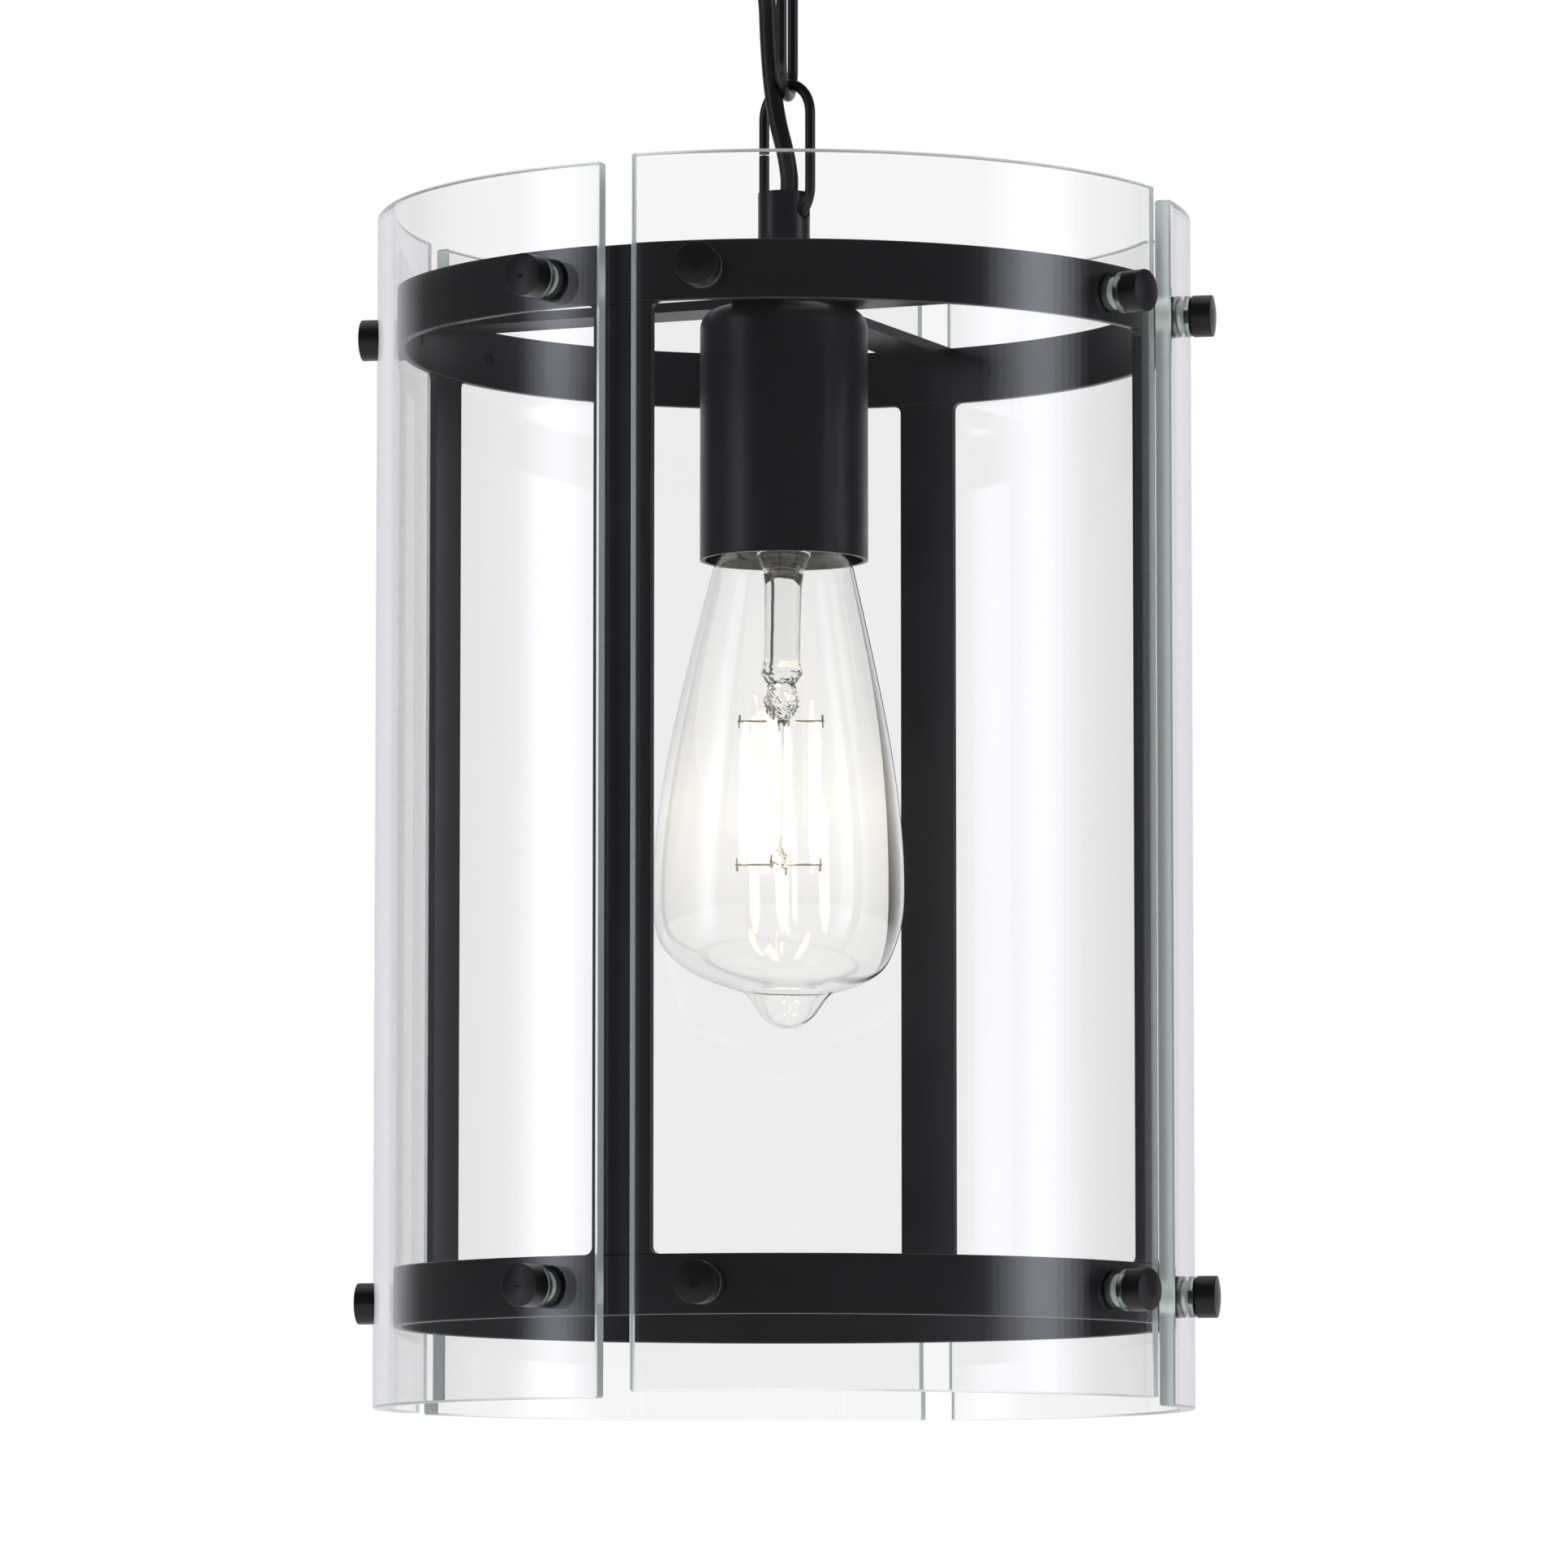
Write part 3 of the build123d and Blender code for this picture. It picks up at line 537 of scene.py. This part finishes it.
BEAD_SWELL = 0.06
FILAMENT_END = 0.45        # how thick the glow is at a rod's very end
FILAMENT_BEND = 1.3        # and how the taper bends
FILAMENT_SIDES = 20


def side_curve(inset):
    """Points down the envelope's side, moved inwards by the inset."""
    anchors = [Vector((r * MM - inset * nr, LAMP_TOP + z * MM - inset * nz)) for r, z, nr, nz in SIDE_POINTS]
    points = [anchors[0]]
    for (a, b), (out, back) in zip(zip(anchors, anchors[1:]), SIDE_HANDLES):
        c, d = a + Vector(out) * MM, b + Vector(back) * MM
        for k in range(1, SIDE_STEPS + 1):
            t = k / SIDE_STEPS
            u = 1 - t
            points.append(a * u ** 3 + c * 3 * u * u * t + d * 3 * u * t * t + b * t ** 3)
    return [(max(p.x, 0.0), p.y) for p in points]


def lamp_piece(obj, node):
    """Tips a piece of the lamp with its glass and lets it stand for its node."""
    turn = Matrix.Rotation(radians(LAMP_TILT), 4, "Y")
    seat = Matrix.Translation((0.0, 0.0, LAMP_SEAT))
    obj.data.transform(seat @ turn @ seat.inverted())
    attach(obj, "lamp")
    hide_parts(node)


def envelope():
    """Blown pear-shaped envelope with a wall and a sealed tip."""
    profile = side_curve(0.0) + list(reversed(side_curve(LAMP_WALL)))
    obj = lathe_mesh("lamp_envelope", profile, LAMP_TURNS, envelope_glass, closed=True)
    for vertex in obj.data.vertices:
        drop = vertex.co.z - LAMP_TOP
        share = min(max((NIPPLE_START - drop) / (NIPPLE_START - NIPPLE_END), 0.0), 1.0)
        vertex.co.x += NIPPLE_SHIFT * share * share * (3 - 2 * share)
    lamp_piece(obj, "lamp_glass")


def foot():
    """Glass foot: flare, tube, the crumpled pinch, a rod and its lower bead."""
    profile = []
    for (r0, z0), (r1, z1) in zip(FOOT_PROFILE, FOOT_PROFILE[1:]):
        for k in range(FOOT_STEPS):
            t = k / FOOT_STEPS
            profile.append(((r0 + (r1 - r0) * t) * MM, LAMP_TOP + (z0 + (z1 - z0) * t) * MM))
    profile.append((0.0, LAMP_TOP + FOOT_PROFILE[-1][1] * MM))
    obj = lathe_mesh("lamp_foot", profile, FOOT_SIDES, foot_glass)
    for vertex in obj.data.vertices:
        drop = (vertex.co.z - LAMP_TOP) / MM
        if PINCH[0] < drop < PINCH[1] or drop < FOOT_BEAD:
            x, y = vertex.co.x / MM, vertex.co.y / MM
            wave = sin(x * 2.3 + drop * 1.7) * cos(y * 2.9 - drop * 1.1) + 0.5 * sin(y * 4.1 + drop * 2.9)
            vertex.co.x *= 1 + CRUMPLE * wave
            vertex.co.y *= 1 + CRUMPLE * wave
    lamp_piece(obj, "lamp_stem")


def filaments():
    """Four lit rods with a row of soft beads under their coat."""
    made = bmesh.new()
    for k in range(4):
        centre = around(FILAMENT_TURN + 90 * k, FILAMENT_SPREAD)
        steps = FILAMENT_BEADS * BEAD_STEPS
        profile = [(0.0, FILAMENT_TOP)]
        for j in range(steps + 1):
            t = j / steps
            swell = BEAD_SWELL * cos(2 * pi * FILAMENT_BEADS * t)
            taper = min(1.0, FILAMENT_END + FILAMENT_TAPER * min(t, 1 - t) ** FILAMENT_BEND)
            profile.append((FILAMENT_RADIUS * taper * (1 + swell), FILAMENT_TOP - FILAMENT_LENGTH * t))
        profile.append((0.0, FILAMENT_TOP - FILAMENT_LENGTH))
        rod = lathe_mesh("rod", profile, FILAMENT_SIDES, filament, centre=(centre.x, centre.y))
        made.from_mesh(rod.data)
        bpy.data.objects.remove(rod)
    mesh = bpy.data.meshes.new("lamp_filament_rods")
    made.to_mesh(mesh)
    made.free()
    mesh.materials.append(filament)
    obj = bpy.data.objects.new("lamp_filament_rods", mesh)
    bpy.context.scene.collection.objects.link(obj)
    lamp_piece(obj, "lamp_filaments")


envelope()
foot()
filaments()


# ---- lower chain link -------------------------------------------------------------------------
LINK_AZIMUTH = 45.0        # its right side comes forward
LINK_SHIFT = 1.1 * MM      # of the chain's line from the lantern's axis
LINK_WIRE = 1.26 * MM
LINK_ARC = 8.0 * MM        # to the wire's centre
LINK_LOW = -107.05 * MM    # lowest and highest centres of the wire
LINK_HIGH = -72.55 * MM
LINK_GAP_HEIGHT = -89.4 * MM
LINK_GAP = 0.45 * MM
LINK_STEPS = 28


def butted_link():
    """Bent oval link whose wire ends meet with a hair's gap in the rear strand."""
    forward = around(LINK_AZIMUTH, 1.0)
    centre = Vector((cos(radians(LINK_AZIMUTH)), sin(radians(LINK_AZIMUTH)), 0.0)) * LINK_SHIFT
    route = [(-LINK_ARC, LINK_GAP_HEIGHT + LINK_GAP / 2)]
    for middle, start in ((LINK_HIGH - LINK_ARC, pi), (LINK_LOW + LINK_ARC, 0.0)):
        for k in range(LINK_STEPS + 1):
            a = start - pi * k / LINK_STEPS
            route.append((LINK_ARC * cos(a), middle + LINK_ARC * sin(a)))
    route.append((-LINK_ARC, LINK_GAP_HEIGHT - LINK_GAP / 2))
    points = [centre + forward * out + Vector((0.0, 0.0, height)) for out, height in route]
    piece = tube_mesh("lower_link_wire", points, LINK_WIRE, TUBE_SIDES, coat_chain)
    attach(piece, "lower_link")
    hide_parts("chain_link_lower")


butted_link()


# ---- flex -------------------------------------------------------------------------------------
FLEX_DIAMETER = 4.4 * MM
FLEX_UPPER = [(-12.5, -4.5, -14.0), (-12.5, -4.5, -27.5), (-9.5, -4.9, -37.5), (-4.233, -1.491, -47.5),
              (-3.989, -1.236, -55.5)]
FLEX_MIDDLE = [(-3.989, -1.236, -55.5), (-3.38, -0.6, -75.5), (-0.687, -2.947, -86.0)]
FLEX_LOWER = [(-0.687, -2.947, -86.0), (0.595, -4.065, -91.0), (1.75, -2.9, -99.9), (-1.15, -3.15, -108.2),
              (-0.5, -1.25, -117.5), (0.0, -0.7, -124.0)]


def flex(name, route):
    """One length of the flex, a tube curved along its route between the two bodies that it joins."""
    points = spline_points([Vector(p) * MM for p in route])
    piece = tube_mesh(f"{name}_skin", points, FLEX_DIAMETER / 2, TUBE_SIDES, flex_skin)
    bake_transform(piece)
    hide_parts(name)


flex("flex_upper", FLEX_UPPER)
flex("flex_middle", FLEX_MIDDLE)
flex("flex_lower", FLEX_LOWER)


# ---- floor, light and air ---------------------------------------------------------------------
FLOOR_HEIGHT = -2.40
FLOOR_SIZE = 30.0
FRONT_AIR = 0.10           # what the object mirrors from the camera's side
BACK_AIR = 0.85            # and from the white wall behind it
AIR_FADE = (0.58, 0.88)    # where along Y, from 0 in front to 1 behind, the one turns into the other
SOFT_LAYERS = 6
SOFT_WIDTHS = (0.35, 1.45)         # of the smallest and the largest layer, over the light's width
SOFT_HEIGHTS = (0.8, 1.2)
SOFT_STEP = 0.004                  # between layers, over the light's distance
SOFT_MEAN = 0.9                    # the layers' mean width
LIGHT_TARGET = (0.0, 0.0, -0.25)


def area_light(name, place, size, power, colour=(1.0, 1.0, 1.0)):
    """A flat light that faces the lantern."""
    light = bpy.data.lights.new(name, "AREA")
    light.shape = "RECTANGLE"
    light.size, light.size_y = size
    light.energy = power
    light.color = colour
    obj = bpy.data.objects.new(name, light)
    obj.location = place
    obj.rotation_euler = (Vector(LIGHT_TARGET) - Vector(place)).to_track_quat("-Z", "Y").to_euler()
    bpy.context.scene.collection.objects.link(obj)


def soft_box(name, place, size, power, colour):
    """A box light that fades towards its edges: layers of growing size, one just before the next."""
    for k in range(SOFT_LAYERS):
        t = k / (SOFT_LAYERS - 1)
        wide, tall = (low + (high - low) * t for low, high in (SOFT_WIDTHS, SOFT_HEIGHTS))
        near = Vector(place) * (1 + SOFT_STEP * k)
        layer = (size[0] * wide, size[1] * tall)
        area_light(f"{name}_{k}", near, layer, power * wide / (SOFT_LAYERS * SOFT_MEAN), colour)


def floor():
    """The plain pale floor, which lights itself a little so that it stays pale in the distance."""
    floor_material, tree, shader = new_material("pale_floor")
    grain = noise(tree, 3.0, 3.0)
    shade = ramp(tree, grain.outputs["Fac"], [(0.3, (0.78, 0.78, 0.78)), (0.7, (0.82, 0.82, 0.82))])
    tree.links.new(shade, shader.inputs["Base Color"])
    tree.links.new(shade, shader.inputs["Emission Color"])
    shader.inputs["Emission Strength"].default_value = 0.9
    shader.inputs["Roughness"].default_value = 0.7
    half = FLOOR_SIZE / 2
    corners = [(-half, -half, FLOOR_HEIGHT), (half, -half, FLOOR_HEIGHT), (half, half, FLOOR_HEIGHT),
               (-half, half, FLOOR_HEIGHT)]
    link_mesh("floor", corners, [(0, 1, 2, 3)], floor_material, smooth=False)


def air():
    """White where it is seen directly or through glass, and a dim wall-to-front fade where it is mirrored."""
    world = bpy.data.worlds.new("studio")
    bpy.context.scene.world = world
    world.use_nodes = True
    tree = world.node_tree
    background = tree.nodes["Background"]
    seen = tree.nodes.new("ShaderNodeBackground")
    seen.inputs["Color"].default_value = (1.0, 1.0, 1.0, 1.0)
    seen.inputs["Strength"].default_value = 1.0
    background.inputs["Color"].default_value = (0.95, 0.95, 1.0, 1.0)
    place = tree.nodes.new("ShaderNodeTexCoord")
    parts = tree.nodes.new("ShaderNodeSeparateXYZ")
    tree.links.new(place.outputs["Generated"], parts.inputs[0])
    behind = value_range(tree, parts.outputs["Y"], FRONT_AIR, BACK_AIR, at=AIR_FADE)
    tree.links.new(behind, background.inputs["Strength"])
    path = tree.nodes.new("ShaderNodeLightPath")
    either = tree.nodes.new("ShaderNodeMath")
    either.operation = "MULTIPLY"
    for k, depth in enumerate(("Diffuse Depth", "Glossy Depth")):
        unbounced = tree.nodes.new("ShaderNodeMath")
        unbounced.operation = "LESS_THAN"
        unbounced.inputs[1].default_value = 0.5
        tree.links.new(path.outputs[depth], unbounced.inputs[0])
        tree.links.new(unbounced.outputs[0], either.inputs[k])
    mix = tree.nodes.new("ShaderNodeMixShader")
    tree.links.new(either.outputs[0], mix.inputs["Fac"])
    tree.links.new(background.outputs[0], mix.inputs[1])
    tree.links.new(seen.outputs[0], mix.inputs[2])
    tree.links.new(mix.outputs[0], tree.nodes["World Output"].inputs["Surface"])


def lights():
    """A soft box on either side and a light from above."""
    soft_box("softbox_left", (-2.0, -0.9, -0.1), (0.66, 1.8), 6.4, (0.84, 0.87, 1.0))
    soft_box("softbox_right", (2.1, -0.55, -0.1), (0.95, 1.8), 10.5, (0.86, 0.89, 1.0))
    area_light("softbox_top", (0.0, 0.2, 1.1), (1.4, 1.4), 6.0)


floor()
air()
lights()
bpy.context.scene.view_settings.view_transform = "Standard"
